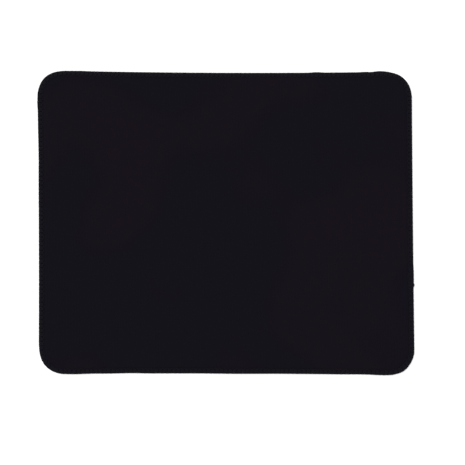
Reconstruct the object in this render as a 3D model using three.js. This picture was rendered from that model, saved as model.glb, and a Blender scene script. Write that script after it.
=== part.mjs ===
import * as THREE from 'three';

// A soft mouse pad with an overlocked edge, in millimetres. It lies flat with its underside on
// z = 0. X runs along the long sides and Y points away from the user, to the rear edge.

// Outline over the stitching, seen from above. The pull of the seam leaves the pad a little out
// of square, and draws each side in between its corners.
const rearWidth = 259.7;
const frontWidth = 260.6;
const depth = 210.4;
const frontShift = 1.9; // how far right of the rear edge the front edge lies
const cornerRadius = 17.5;
const rightDraw = 0.16;
const rearDraw = 1.07;
const leftDraw = 0.45;
const frontDraw = 0.63;

// Sheets of the pad, as thick as they are where no seam squeezes them.
const rubberThickness = 2.5;
const filmThickness = 0.1;
const clothThickness = 0.4;

// The overlock seam. Its needle line runs round the pad at one distance from the edge.
const needleInset = 3.5;
const stitchPitch = 3;
const puckerWidth = 1.4; // from the needle line in to where the pad is flat again
const needleLineShare = 0.72; // what the seam leaves of the pad's thickness at the needle line
const cutEdgeShare = 0.54; // and at the cut edge
const threadClearance = 0.12; // between a thread and the sheets, or the next thread

// The needle's thread: a stitch lies flat from hole to hole and narrows where it dives in.
const needleThreadWidth = 0.42;
const needleThreadHeight = 0.3;
const needleHoleWidth = 0.22;
const needleHoleHeight = 0.14;

// The looper threads: loops lie side by side over the edge, with a dip between two loops.
const cutInset = 0.62; // how far the sheets' cut edge lies behind the threads
const loopThickness = 0.45;
const loopShoulderInset = 0.3;
const loopLean = 0.7; // how far a loop's toe leads its hook along the seam
const dipThickness = 0.24;
const dipEdgeInset = 0.14;
const dipSetback = 0.9; // how far a dip's toe stays short of a loop's toe

// Where the seam runs over its own start and stands a little proud.
const lapPlaceShare = 0.285; // of the right side, from front to rear
const lapLength = 20;
const lapSwell = 0.3;

// Facets of the sheets' outline.
const cornerSteps = 8;
const sideSteps = 5;

const thickness = rubberThickness + filmThickness + clothThickness;
const middleHeight = thickness / 2;
const flatInset = needleInset + puckerWidth;

// Corner circles' centres, counter-clockwise from the front right corner.
const cornerRise = depth / 2 - cornerRadius;
const frontReach = frontWidth / 2 - cornerRadius;
const rearReach = rearWidth / 2 - cornerRadius;
const cornerCentres = [
  new THREE.Vector2(frontReach + frontShift / 2, -cornerRise),
  new THREE.Vector2(rearReach - frontShift / 2, cornerRise),
  new THREE.Vector2(-rearReach - frontShift / 2, cornerRise),
  new THREE.Vector2(-frontReach + frontShift / 2, -cornerRise),
];
const sideDraws = [rightDraw, rearDraw, leftDraw, frontDraw];

/** Centre and radius of the shallow hollow arc that touches two corner circles. */
function hollowArc(from, to, draw) {
  const span = from.distanceTo(to);
  const radius = (span ** 2 + 4 * draw ** 2) / (8 * draw) - cornerRadius;
  const outward = new THREE.Vector2(to.y - from.y, from.x - to.x).normalize();
  const centre = from.clone().add(to).multiplyScalar(0.5);
  centre.addScaledVector(outward, radius + cornerRadius - draw);
  return { centre, radius };
}

function direction(from, to) {
  return Math.atan2(to.y - from.y, to.x - from.x);
}

/** The outline as eight arcs that run into each other: a side, then the corner after it. */
function outlineArcs() {
  const count = cornerCentres.length;
  const hollows = cornerCentres.map((from, k) =>
    hollowArc(from, cornerCentres[(k + 1) % count], sideDraws[k]));
  return hollows.flatMap((side, k) => {
    const from = cornerCentres[k];
    const to = cornerCentres[(k + 1) % count];
    const next = hollows[(k + 1) % count];
    return [
      {
        centre: side.centre,
        radius: side.radius,
        start: direction(side.centre, from),
        end: direction(side.centre, to),
        hollow: true,
      },
      {
        centre: to.clone(),
        radius: cornerRadius,
        start: direction(to, side.centre),
        end: direction(to, next.centre),
        hollow: false,
      },
    ];
  });
}

/** The arc moved in towards the middle of the pad. A corner gets tighter, a hollow side wider. */
function insetCurve(arc, inset) {
  const radius = arc.hollow ? arc.radius + inset : arc.radius - inset;
  return new THREE.EllipseCurve(
    arc.centre.x, arc.centre.y, radius, radius, arc.start, arc.end, arc.hollow);
}

const arcs = outlineArcs();
const outlineBox = new THREE.Box2().setFromPoints(
  arcs.flatMap((arc) => insetCurve(arc, 0).getPoints(cornerSteps)));
const outlineMiddle = outlineBox.getCenter(new THREE.Vector2());
arcs.forEach((arc) => arc.centre.sub(outlineMiddle));

/** Points round the pad at one inset, the same count and order at every inset. */
function outlineRing(inset, height) {
  return arcs.flatMap((arc) => {
    const steps = arc.hollow ? sideSteps : cornerSteps;
    const points = insetCurve(arc, inset).getPoints(steps).slice(0, steps);
    return points.map((point) => new THREE.Vector3(point.x, point.y, height));
  });
}

// The needle line's stretches, and how far round the pad each begins.
const needleLine = arcs.map((arc) => insetCurve(arc, needleInset).getLength());
const needleLineLength = needleLine.reduce((sum, length) => sum + length, 0);
const stitchCount = Math.round(needleLineLength / stitchPitch);

/** A point of the seam, by the way travelled along the needle line, its inset and its height. */
function seamPoint(travel, inset, height) {
  let rest = THREE.MathUtils.euclideanModulo(travel, needleLineLength);
  let k = 0;
  while (k < arcs.length - 1 && rest > needleLine[k]) {
    rest -= needleLine[k];
    k += 1;
  }
  const point = insetCurve(arcs[k], inset).getPoint(rest / needleLine[k]);
  return new THREE.Vector3(point.x, point.y, height);
}

/** Share of its thickness that the pad keeps at an inset, under the pull of the seam. */
function squeezeShare(inset) {
  if (inset < needleInset) {
    return THREE.MathUtils.mapLinear(inset, cutInset, needleInset, cutEdgeShare, needleLineShare);
  }
  return Math.min(1, THREE.MathUtils.mapLinear(inset, needleInset, flatInset, needleLineShare, 1));
}

/** Where a level of the unsqueezed pad lies at an inset. */
function squeezedLevel(level, inset) {
  return middleHeight + (level - middleHeight) * squeezeShare(inset);
}

/** Distance from the pad's middle height to a thread that lies on its face. */
function threadSeat(inset) {
  return middleHeight * squeezeShare(inset) + threadClearance;
}

/**
 * Skin over rows of points, each row closed on itself. The rows close on each other too, or
 * else the first and last row each get a lid.
 */
function loft(rows, closesOnItself) {
  const width = rows[0].length;
  const points = rows.flat();
  const triangles = [];
  const at = (row, k) => (row % rows.length) * width + (k % width);
  const lastRow = closesOnItself ? rows.length : rows.length - 1;
  for (let row = 0; row < lastRow; row += 1) {
    for (let k = 0; k < width; k += 1) {
      triangles.push(at(row, k), at(row + 1, k), at(row + 1, k + 1));
      triangles.push(at(row, k), at(row + 1, k + 1), at(row, k + 1));
    }
  }
  if (!closesOnItself) {
    const top = points.length;
    const bottom = top + 1;
    points.push(new THREE.Vector3(0, 0, rows[0][0].z));
    points.push(new THREE.Vector3(0, 0, rows[rows.length - 1][0].z));
    for (let k = 0; k < width; k += 1) {
      triangles.push(top, at(0, k), at(0, k + 1));
      triangles.push(bottom, at(rows.length - 1, k + 1), at(rows.length - 1, k));
    }
  }
  const geometry = new THREE.BufferGeometry().setFromPoints(points);
  geometry.setIndex(triangles);
  return geometry;
}

/** One sheet of the pad between two levels, squeezed thin along its edge. */
function sheetGeometry(lowLevel, highLevel) {
  const row = (inset, level) => outlineRing(inset, squeezedLevel(level, inset));
  return loft([
    row(flatInset, highLevel),
    row(needleInset, highLevel),
    row(cutInset, highLevel),
    row(cutInset, lowLevel),
    row(needleInset, lowLevel),
    row(flatInset, lowLevel),
  ], false);
}

/** How much further out the loops stand at a place of the seam, where it laps its start. */
function lapAt(travel) {
  const rightSideLength = needleLine[0];
  const away = Math.abs(travel - lapPlaceShare * rightSideLength);
  const share = Math.min(1, away / (lapLength / 2));
  return lapSwell * (1 + Math.cos(Math.PI * share)) / 2;
}

/** Section of a looper thread: its hook at the edge, shoulder, toe and the inner shoulder. */
function looperSection(travel, form, side) {
  const edge = form.edgeInset - lapAt(travel);
  const height = (rise) => middleHeight + side * rise;
  const seat = threadSeat(cutInset);
  const section = [
    seamPoint(travel, edge, height(threadClearance / 2)),
    seamPoint(travel, edge + loopShoulderInset, height(seat + form.thickness)),
    seamPoint(travel + loopLean, form.toeInset, height(threadSeat(form.toeInset))),
    seamPoint(travel, cutInset - threadClearance, height(seat)),
  ];
  return side > 0 ? section : section.reverse();
}

/** A looper thread all the way round, over the pad's top (side 1) or its underside (side -1). */
function looperGeometry(side) {
  const toeInset = needleInset - needleThreadWidth / 2 - threadClearance;
  const loop = { edgeInset: 0, toeInset, thickness: loopThickness };
  const dip = {
    edgeInset: dipEdgeInset,
    toeInset: toeInset - dipSetback,
    thickness: dipThickness,
  };
  const pitch = needleLineLength / stitchCount;
  const sections = [];
  for (let stitch = 0; stitch < stitchCount; stitch += 1) {
    sections.push(looperSection(stitch * pitch, loop, side));
    sections.push(looperSection((stitch + 0.5) * pitch, dip, side));
  }
  return loft(sections, true);
}

/** Section of the needle's thread: two low corners that lie on the cloth, and its crown. */
function needleSection(travel, width, height) {
  const outer = needleInset - width / 2;
  const inner = needleInset + width / 2;
  const crown = threadSeat(needleInset) + height;
  return [
    seamPoint(travel, outer, middleHeight + threadSeat(outer)),
    seamPoint(travel, needleInset, middleHeight + crown),
    seamPoint(travel, inner, middleHeight + threadSeat(inner)),
  ];
}

/** The needle's thread all the way round, one flat stitch after another. */
function needleGeometry() {
  const pitch = needleLineLength / stitchCount;
  const sections = [];
  for (let stitch = 0; stitch < stitchCount; stitch += 1) {
    sections.push(needleSection(stitch * pitch, needleHoleWidth, needleHoleHeight));
    sections.push(needleSection((stitch + 0.5) * pitch, needleThreadWidth, needleThreadHeight));
  }
  return loft(sections, true);
}

function addPiece(group, name, geometry, material) {
  const mesh = new THREE.Mesh(geometry, new THREE.MeshStandardMaterial(material));
  mesh.name = name;
  group.add(mesh);
}

const pad = new THREE.Group();

const filmLevel = rubberThickness;
const clothLevel = filmLevel + filmThickness;
addPiece(pad, 'rubber_base', sheetGeometry(0, filmLevel),
  { color: 0x1b1b1d, roughness: 0.85, metalness: 0 });
addPiece(pad, 'bonding_film', sheetGeometry(filmLevel, clothLevel),
  { color: 0x3d3a33, roughness: 0.5, metalness: 0 });
addPiece(pad, 'top_cloth', sheetGeometry(clothLevel, thickness),
  { color: 0x16151d, roughness: 0.95, metalness: 0 });

addPiece(pad, 'needle_thread', needleGeometry(),
  { color: 0x131219, roughness: 0.8, metalness: 0 });
addPiece(pad, 'upper_looper_thread', looperGeometry(1),
  { color: 0x111017, roughness: 0.8, metalness: 0 });
addPiece(pad, 'lower_looper_thread', looperGeometry(-1),
  { color: 0x111017, roughness: 0.8, metalness: 0 });

export default pad;
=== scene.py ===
"""Looks of a cloth mouse pad with an overlocked edge.

The pad is built as it is made: a foamed rubber sheet, an adhesive film, a knitted cloth bonded
on it, and a three-thread overlock sewn round the edge of all three. Sizes are in millimetres
unless a name or a comment says otherwise, and turn to metres where a mesh goes to Blender.
X runs along the long sides, Y points to the rear edge, and the pad lies on z = 0.
"""

from __future__ import annotations

import logging
import math
from dataclasses import dataclass, field
from enum import Enum

import bpy
import numpy as np
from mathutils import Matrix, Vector, geometry

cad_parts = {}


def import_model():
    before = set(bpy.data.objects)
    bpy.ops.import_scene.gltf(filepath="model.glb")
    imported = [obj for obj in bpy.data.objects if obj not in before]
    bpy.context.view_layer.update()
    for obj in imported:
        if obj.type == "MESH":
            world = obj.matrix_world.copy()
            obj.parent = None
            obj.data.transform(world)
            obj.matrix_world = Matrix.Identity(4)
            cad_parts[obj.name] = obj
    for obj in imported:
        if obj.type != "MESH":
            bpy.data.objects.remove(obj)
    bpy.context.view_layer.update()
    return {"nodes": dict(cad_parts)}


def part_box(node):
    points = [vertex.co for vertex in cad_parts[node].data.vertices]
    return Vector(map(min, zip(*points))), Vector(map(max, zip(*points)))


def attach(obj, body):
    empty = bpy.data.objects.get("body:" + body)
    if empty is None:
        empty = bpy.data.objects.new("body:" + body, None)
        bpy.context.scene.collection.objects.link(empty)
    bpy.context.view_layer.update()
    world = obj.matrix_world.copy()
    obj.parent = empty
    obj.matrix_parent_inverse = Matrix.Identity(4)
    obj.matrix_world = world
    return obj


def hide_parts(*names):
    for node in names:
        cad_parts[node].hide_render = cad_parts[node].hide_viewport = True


MM = 0.001  # metres
BODY = "root"
YARN_MAP = "yarn"  # UV map of a thread: millimetres along it, and the share of the way round it
BAKE_MAP = "OFBake"  # UV map that a finish keeps its sharpness on, once it is stored as a picture
MIX_FIRST, MIX_SECOND, MIX_MADE = 6, 7, 2  # a Mix node's sockets for two colours and the mix
LOG = logging.getLogger("mouse_pad")


def linear(hex_colour: str) -> tuple[float, float, float, float]:
    """Turn an sRGB hex colour into linear RGBA.

    Args:
        hex_colour: Colour as "#rrggbb".

    Returns:
        Red, green and blue from 0 to 1, and an alpha of 1.
    """
    channels = (int(hex_colour[k : k + 2], 16) / 255 for k in (1, 3, 5))
    made = [c / 12.92 if c <= 0.04045 else ((c + 0.055) / 1.055) ** 2.4 for c in channels]
    return made[0], made[1], made[2], 1.0


def add_node(
    tree: bpy.types.NodeTree, kind: str, inputs: dict | None = None, **settings: object
) -> bpy.types.Node:
    """Add a node with its settings and links.

    Args:
        tree: Node tree that gets the node.
        kind: Blender's name for the type of node.
        inputs: For each input, by name or number, a socket to link to it or its value.
        **settings: The node's own properties.

    Returns:
        The new node.
    """
    node = tree.nodes.new(kind)
    for name, value in settings.items():
        setattr(node, name, value)
    for key, value in (inputs or {}).items():
        if isinstance(value, bpy.types.NodeSocket):
            tree.links.new(value, node.inputs[key])
        else:
            node.inputs[key].default_value = value
    return node


def new_material(name: str) -> tuple[bpy.types.Material, bpy.types.NodeTree, bpy.types.Node]:
    """Start a material with one Principled shader.

    Args:
        name: The real material and how it is made.

    Returns:
        The material, its node tree and its shader.
    """
    material = bpy.data.materials.new(name)
    material.use_nodes = True
    tree = material.node_tree
    return material, tree, tree.nodes["Principled BSDF"]


def shaded(
    tree: bpy.types.NodeTree,
    colour: bpy.types.NodeSocket | tuple[float, float, float, float],
    pattern: bpy.types.NodeSocket,
    spread: float,
) -> bpy.types.NodeSocket:
    """Make a colour lighter and darker by a pattern.

    Args:
        tree: Node tree that gets the nodes.
        colour: The colour, or a socket that gives it.
        pattern: A socket that runs from 0, where the colour is darkest, to 1.
        spread: How much lighter or darker it gets, as a share.

    Returns:
        A socket with the shaded colour.
    """
    shade = add_node(
        tree,
        "ShaderNodeMapRange",
        {"Value": pattern, "To Min": 1 - spread, "To Max": 1 + spread},
    )
    made = add_node(
        tree, "ShaderNodeHueSaturation", {"Color": colour, "Value": shade.outputs[0]}
    )
    return made.outputs[0]


def place_in_millimetres(tree: bpy.types.NodeTree) -> bpy.types.NodeSocket:
    """Give each place on the object, so that patterns lie in its own millimetres.

    Args:
        tree: Node tree that gets the nodes.

    Returns:
        A socket with the place.
    """
    metres = add_node(tree, "ShaderNodeTexCoord").outputs["Object"]
    place = add_node(
        tree, "ShaderNodeVectorMath", {0: metres, "Scale": 1 / MM}, operation="SCALE"
    )
    return place.outputs[0]


def finish_shader(
    tree: bpy.types.NodeTree,
    shader: bpy.types.Node,
    colour: bpy.types.NodeSocket,
    pattern: bpy.types.NodeSocket,
    depth: float,
    specular: float,
) -> None:
    """Give a shader its colour, its relief and its gloss.

    Args:
        tree: Node tree of the shader.
        shader: The shader.
        colour: A socket with its colour.
        pattern: A socket with the height of its relief, from 0 to 1.
        depth: Depth of the relief.
        specular: Strength of the gloss.
    """
    bump = add_node(tree, "ShaderNodeBump", {"Height": pattern, "Distance": depth * MM})
    tree.links.new(colour, shader.inputs["Base Color"])
    tree.links.new(bump.outputs[0], shader.inputs["Normal"])
    shader.inputs["Specular IOR Level"].default_value = specular


def new_object(name: str, data: bpy.types.ID) -> bpy.types.Object:
    """Make an object and put it in the scene.

    Args:
        name: Name of the object.
        data: Its mesh, lamp or camera.

    Returns:
        The object.
    """
    made = bpy.data.objects.new(name, data)
    bpy.context.scene.collection.objects.link(made)
    return made


@dataclass
class Shape:
    """A closed surface with its points in millimetres.

    Attributes:
        points: One row for each point.
        faces: The points of each face, counter-clockwise seen from outside.
        charts: For each UV map, by name, one row for each face corner.
    """

    points: np.ndarray
    faces: list[list[int]]
    charts: dict[str, np.ndarray] = field(default_factory=dict)

    def to_object(self, name: str) -> bpy.types.Object:
        """Make the Blender object.

        Args:
            name: Name of the piece.

        Returns:
            The object, with its mesh in metres and smooth shading.
        """
        mesh = bpy.data.meshes.new(name)
        mesh.from_pydata((self.points * MM).tolist(), [], self.faces)
        for chart_name, chart in self.charts.items():
            layer = mesh.uv_layers.new(name=chart_name)
            layer.uv.foreach_set("vector", chart.astype(np.float32).ravel())
        mesh.shade_smooth()
        return new_object(name, mesh)


def band_faces(rows: int, width: int, closed: bool) -> np.ndarray:
    """Join neighbouring rows of points by quads, with each row closed on itself.

    Args:
        rows: Count of rows.
        width: Count of points in a row.
        closed: Whether the last row joins the first.

    Returns:
        Four point numbers for each face.
    """
    row = np.arange(rows if closed else rows - 1)[:, None]
    place = np.arange(width)[None, :]
    after = (row + 1) % rows
    beside = (place + 1) % width
    corners = (
        row * width + place,
        after * width + place,
        after * width + beside,
        row * width + beside,
    )
    return np.stack(np.broadcast_arrays(*corners), -1).reshape(-1, 4)


def inside_faces(ring: np.ndarray, middle: np.ndarray) -> np.ndarray:
    """Triangles that cover the inside of a ring.

    Args:
        ring: Points of the ring, counter-clockwise seen from above.
        middle: Loose points inside it.

    Returns:
        Three point numbers for each face, the ring's points first and then the middle's,
        counter-clockwise seen from above.
    """
    plan = [Vector(point[:2]) for point in np.vstack([ring, middle])]
    inside_only = 1
    closest = 1e-6
    made = geometry.delaunay_2d_cdt(plan, [], [list(range(len(ring)))], inside_only, closest)
    sources = np.array([numbers[0] for numbers in made[3]])
    faces = sources[np.array(made[2])]
    flat = np.array([tuple(point) for point in plan])
    first, second, third = (flat[faces[:, k]] for k in range(3))
    turn = np.cross(second - first, third - first)
    return np.where((turn < 0)[:, None], faces[:, ::-1], faces)


def closed_plate(rings: np.ndarray, top: np.ndarray, bottom: np.ndarray) -> Shape:
    """Close a sheet round a stack of rings.

    Args:
        rings: Rings from the innermost on top, round the edge, to the innermost below.
        top: Loose points inside the first ring.
        bottom: Loose points inside the last ring.

    Returns:
        The sheet's whole surface.
    """
    count, width, _ = rings.shape
    walls = band_faces(count, width, closed=False)
    lid = inside_faces(rings[0], top)
    lid = np.where(lid < width, lid, lid + (count - 1) * width)
    base = inside_faces(rings[-1], bottom)[:, ::-1]
    base = np.where(base < width, base + (count - 1) * width, base + (count - 1) * width + len(top))
    points = np.vstack([rings.reshape(-1, 3), top, bottom])
    return Shape(points, [*walls.tolist(), *lid.tolist(), *base.tolist()])


@dataclass
class ThreadPath:
    """The run of a thread, point by point.

    Attributes:
        points: Places of its middle.
        normals: Directions away from what the thread lies on.
        widths: Sizes across it, along what it lies on.
        heights: Sizes away from what it lies on.
    """

    points: np.ndarray
    normals: np.ndarray
    widths: np.ndarray
    heights: np.ndarray

    def sweep(self, sides: int, closed: bool = True) -> Shape:
        """Lay an oval section along the run.

        Args:
            sides: Corners of the section.
            closed: Whether the run joins its own start. Otherwise each end gets a lid.

        Returns:
            The thread's surface, with its yarn map.
        """
        if closed:
            ahead = np.roll(self.points, -1, axis=0) - np.roll(self.points, 1, axis=0)
        else:
            ahead = np.gradient(self.points, axis=0)
        ahead /= np.linalg.norm(ahead, axis=1, keepdims=True)
        across = np.cross(ahead, self.normals)
        across /= np.linalg.norm(across, axis=1, keepdims=True)
        away = np.cross(across, ahead)
        angle = math.tau * np.arange(sides) / sides
        wide = (self.widths / 2)[:, None] * np.cos(angle)
        high = (self.heights / 2)[:, None] * np.sin(angle)
        skin = (
            self.points[:, None, :]
            + wide[:, :, None] * across[:, None, :]
            + high[:, :, None] * away[:, None, :]
        )
        count = len(self.points)
        walls = band_faces(count, sides, closed)
        steps = np.linalg.norm(np.diff(self.points, axis=0, append=self.points[:1]), axis=1)
        along = np.concatenate([[0.0], np.cumsum(steps)])
        row, side = np.divmod(walls[:, 0], sides)
        corners = [(row, side), (row + 1, side), (row + 1, side + 1), (row, side + 1)]
        chart = np.stack([np.stack([along[i], j / sides], 1) for i, j in corners], 1)
        faces = walls.tolist()
        chart = chart.reshape(-1, 2)
        if not closed:
            first_end = list(range(sides))
            last_end = list(range(count * sides - 1, (count - 1) * sides - 1, -1))
            faces += [first_end, last_end]
            chart = np.vstack([chart, np.zeros((2 * sides, 2))])
        return Shape(skin.reshape(-1, 3), faces, {YARN_MAP: chart})


@dataclass(frozen=True)
class Pucker:
    """A place where the seam leaves the edge uneven, as where the pad was turned at a corner.

    Attributes:
        place: Its middle, along the needle line.
        reach: How far the edge stands out there, below zero where it is drawn in.
        half_length: From its middle to where the edge is even again.
    """

    place: float
    reach: float
    half_length: float


@dataclass
class PadOutline:
    """The pad's plan: four shallow hollow sides between four round corners.

    The seam's pull leaves the pad a little out of square and draws each side in. Distances
    along the edge are measured on the needle line, counter-clockwise from the front end of
    the right side.

    Attributes:
        rear_width: Width over the rear corners.
        front_width: Width over the front corners.
        depth: Depth over the corners.
        front_shift: How far right of the rear edge the front edge lies.
        corner_radius: Radius of the round corners.
        right_draw: How far the right side is drawn in between its corners.
        rear_draw: The same for the rear side.
        left_draw: The same for the left side.
        front_draw: The same for the front side.
        needle_inset: Distance of the needle line from the outline.
        puckers: The uneven places of the edge, on the right side, at the rear right corner, on
            the rear side and so on, counter-clockwise.
        samples: Points round the pad from which its box is measured.
        centres: Middle of each of the eight arcs, a side and then the corner after it.
        radii: Their radii.
        starts: Their first angles.
        sweeps: The angles that they turn through, below zero on the hollow sides.
        inward: 1 where an arc's radius grows towards the middle of the pad, and else -1.
        lengths: Their lengths on the needle line.
        begins: Distance along the needle line where each starts.
        half_size: Half the width and half the depth of the pad's box.
    """

    rear_width: float = 259.7
    front_width: float = 260.6
    depth: float = 210.4
    front_shift: float = 1.9
    corner_radius: float = 17.5
    right_draw: float = 0.16
    rear_draw: float = 1.07
    left_draw: float = 0.45
    front_draw: float = 0.63
    needle_inset: float = 3.5
    puckers: tuple[Pucker, ...] = (
        Pucker(178.5, -0.18, 5.0),
        Pucker(193.5, -0.24, 5.0),
        Pucker(202.0, 0.62, 7.5),
        Pucker(212.5, 0.22, 5.0),
        Pucker(246.0, 0.36, 7.0),
        Pucker(410.0, 0.16, 9.0),
        Pucker(424.0, -0.25, 5.0),
        Pucker(433.5, 0.32, 6.5),
        Pucker(449.0, 0.27, 6.0),
        Pucker(486.0, -0.2, 24.0),
        Pucker(622.5, -0.42, 8.0),
        Pucker(649.0, 0.34, 13.0),
        Pucker(688.0, -0.26, 16.0),
        Pucker(762.0, 0.22, 30.0),
        Pucker(846.0, -0.14, 12.0),
        Pucker(862.0, 0.26, 10.0),
        Pucker(875.5, 0.36, 6.0),
    )
    samples: int = 4000
    centres: np.ndarray = field(init=False)
    radii: np.ndarray = field(init=False)
    starts: np.ndarray = field(init=False)
    sweeps: np.ndarray = field(init=False)
    inward: np.ndarray = field(init=False)
    lengths: np.ndarray = field(init=False)
    begins: np.ndarray = field(init=False)
    half_size: np.ndarray = field(init=False)

    def __post_init__(self) -> None:
        """Work out the eight arcs, a side and then the corner after it."""
        rise = self.depth / 2 - self.corner_radius
        front = self.front_width / 2 - self.corner_radius
        rear = self.rear_width / 2 - self.corner_radius
        lean = self.front_shift / 2
        corners = np.array(
            [
                (front + lean, -rise),
                (rear - lean, rise),
                (-rear - lean, rise),
                (-front + lean, -rise),
            ]
        )
        draws = (self.right_draw, self.rear_draw, self.left_draw, self.front_draw)
        after = np.roll(corners, -1, axis=0)
        hollows = [self._hollow(*ends) for ends in zip(corners, after, draws)]
        centres, radii, starts, sweeps = [], [], [], []
        for k, (centre, radius) in enumerate(hollows):
            next_centre = hollows[(k + 1) % len(hollows)][0]
            start, end = self._heading(centre, corners[k]), self._heading(centre, after[k])
            centres += [centre, after[k]]
            radii += [radius, self.corner_radius]
            starts += [start, self._heading(after[k], centre)]
            turn = self._heading(after[k], next_centre) - starts[-1]
            sweeps += [-((start - end) % math.tau), turn % math.tau]
        self.centres, self.radii = np.array(centres), np.array(radii)
        self.starts, self.sweeps = np.array(starts), np.array(sweeps)
        self.inward = np.tile([1.0, -1.0], len(hollows))
        self.lengths = np.abs(self.sweeps) * (self.radii + self.inward * self.needle_inset)
        self.begins = np.concatenate([[0.0], np.cumsum(self.lengths)[:-1]])
        plan = self._even_place(np.linspace(0, self.needle_length, self.samples), 0.0)
        self.centres -= (plan.min(0) + plan.max(0)) / 2
        self.half_size = np.ptp(plan, axis=0) / 2

    @staticmethod
    def _heading(start: np.ndarray, end: np.ndarray) -> float:
        """Angle of the way from one point to another."""
        return math.atan2(end[1] - start[1], end[0] - start[0])

    def _hollow(self, start: np.ndarray, end: np.ndarray, draw: float) -> tuple[np.ndarray, float]:
        """Work out the shallow arc that touches two corner circles.

        Args:
            start: Middle of the corner circle before it.
            end: Middle of the corner circle after it.
            draw: How far the side is drawn in.

        Returns:
            The arc's middle, outside the pad, and its radius.
        """
        # The radius of an arc follows from its span and its rise in the middle.
        span = float(np.linalg.norm(end - start))
        radius = (span**2 + 4 * draw**2) / (8 * draw) - self.corner_radius
        outward = np.array([end[1] - start[1], start[0] - end[0]]) / span
        return (start + end) / 2 + outward * (radius + self.corner_radius - draw), radius

    @property
    def needle_length(self) -> float:
        """Length of the needle line, all the way round."""
        return float(self.lengths.sum())

    def _arc_at(self, travel: np.ndarray) -> tuple[np.ndarray, np.ndarray]:
        """Find the arc that each place lies on.

        Args:
            travel: Distances along the needle line.

        Returns:
            The number of each place's arc, and its angle on that arc.
        """
        travel = np.mod(travel, self.needle_length)
        arc = np.searchsorted(self.begins, travel, side="right") - 1
        share = (travel - self.begins[arc]) / self.lengths[arc]
        return arc, self.starts[arc] + self.sweeps[arc] * share

    def outward(self, travel: np.ndarray) -> np.ndarray:
        """Directions straight out of the pad, in plan, at distances along the needle line."""
        arc, angle = self._arc_at(travel)
        return -self.inward[arc][:, None] * np.stack([np.cos(angle), np.sin(angle)], 1)

    def _even_place(self, travel: np.ndarray, inset: np.ndarray | float) -> np.ndarray:
        """Find points in plan, as they would be without puckers.

        Args:
            travel: Distances along the needle line.
            inset: How far each point lies in from the outline.

        Returns:
            X and Y for each point.
        """
        arc, angle = self._arc_at(travel)
        reach = self.radii[arc] + self.inward[arc] * inset
        return self.centres[arc] + reach[:, None] * np.stack([np.cos(angle), np.sin(angle)], 1)

    def place(self, travel: np.ndarray, inset: np.ndarray | float) -> np.ndarray:
        """Find points in plan.

        Args:
            travel: Distances along the needle line.
            inset: How far each point lies in from the outline.

        Returns:
            X and Y for each point, moved by the puckers if it lies outside the needle line.
        """
        outer_share = np.clip(1 - inset / self.needle_inset, 0, 1)
        moved = np.zeros(len(travel))
        for pucker in self.puckers:
            away = np.abs(np.mod(travel, self.needle_length) - pucker.place)
            near = np.minimum(1, away / pucker.half_length)
            moved += pucker.reach * (1 + np.cos(np.pi * near)) / 2
        return self._even_place(travel, inset - moved * outer_share)

    def spread(self, travel: np.ndarray, inset: np.ndarray) -> np.ndarray:
        """Say how much longer the way round is at an inset than on the needle line.

        Args:
            travel: Distances along the needle line.
            inset: How far each place lies in from the outline.

        Returns:
            The ratio at each place, about 1 on the sides and up to 1.25 round the corners.
        """
        arc, _ = self._arc_at(travel)
        needle_radius = self.radii[arc] + self.inward[arc] * self.needle_inset
        return (self.radii[arc] + self.inward[arc] * inset) / needle_radius

    def inset_of(self, plan: np.ndarray) -> np.ndarray:
        """Measure how far in from the outline points lie, negative outside it.

        Args:
            plan: X and Y for each point.

        Returns:
            The distance of each point.
        """
        nearest = np.full(len(plan), np.inf)
        for k, centre in enumerate(self.centres):
            away = plan - centre
            distance = np.hypot(away[:, 0], away[:, 1])
            if self.inward[k] > 0:
                nearest = np.minimum(nearest, distance - self.radii[k])
                continue
            turn = np.mod(np.arctan2(away[:, 1], away[:, 0]) - self.starts[k], math.tau)
            inset = self.radii[k] - distance
            nearest = np.where(turn <= self.sweeps[k], inset, nearest)
        return nearest


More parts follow.
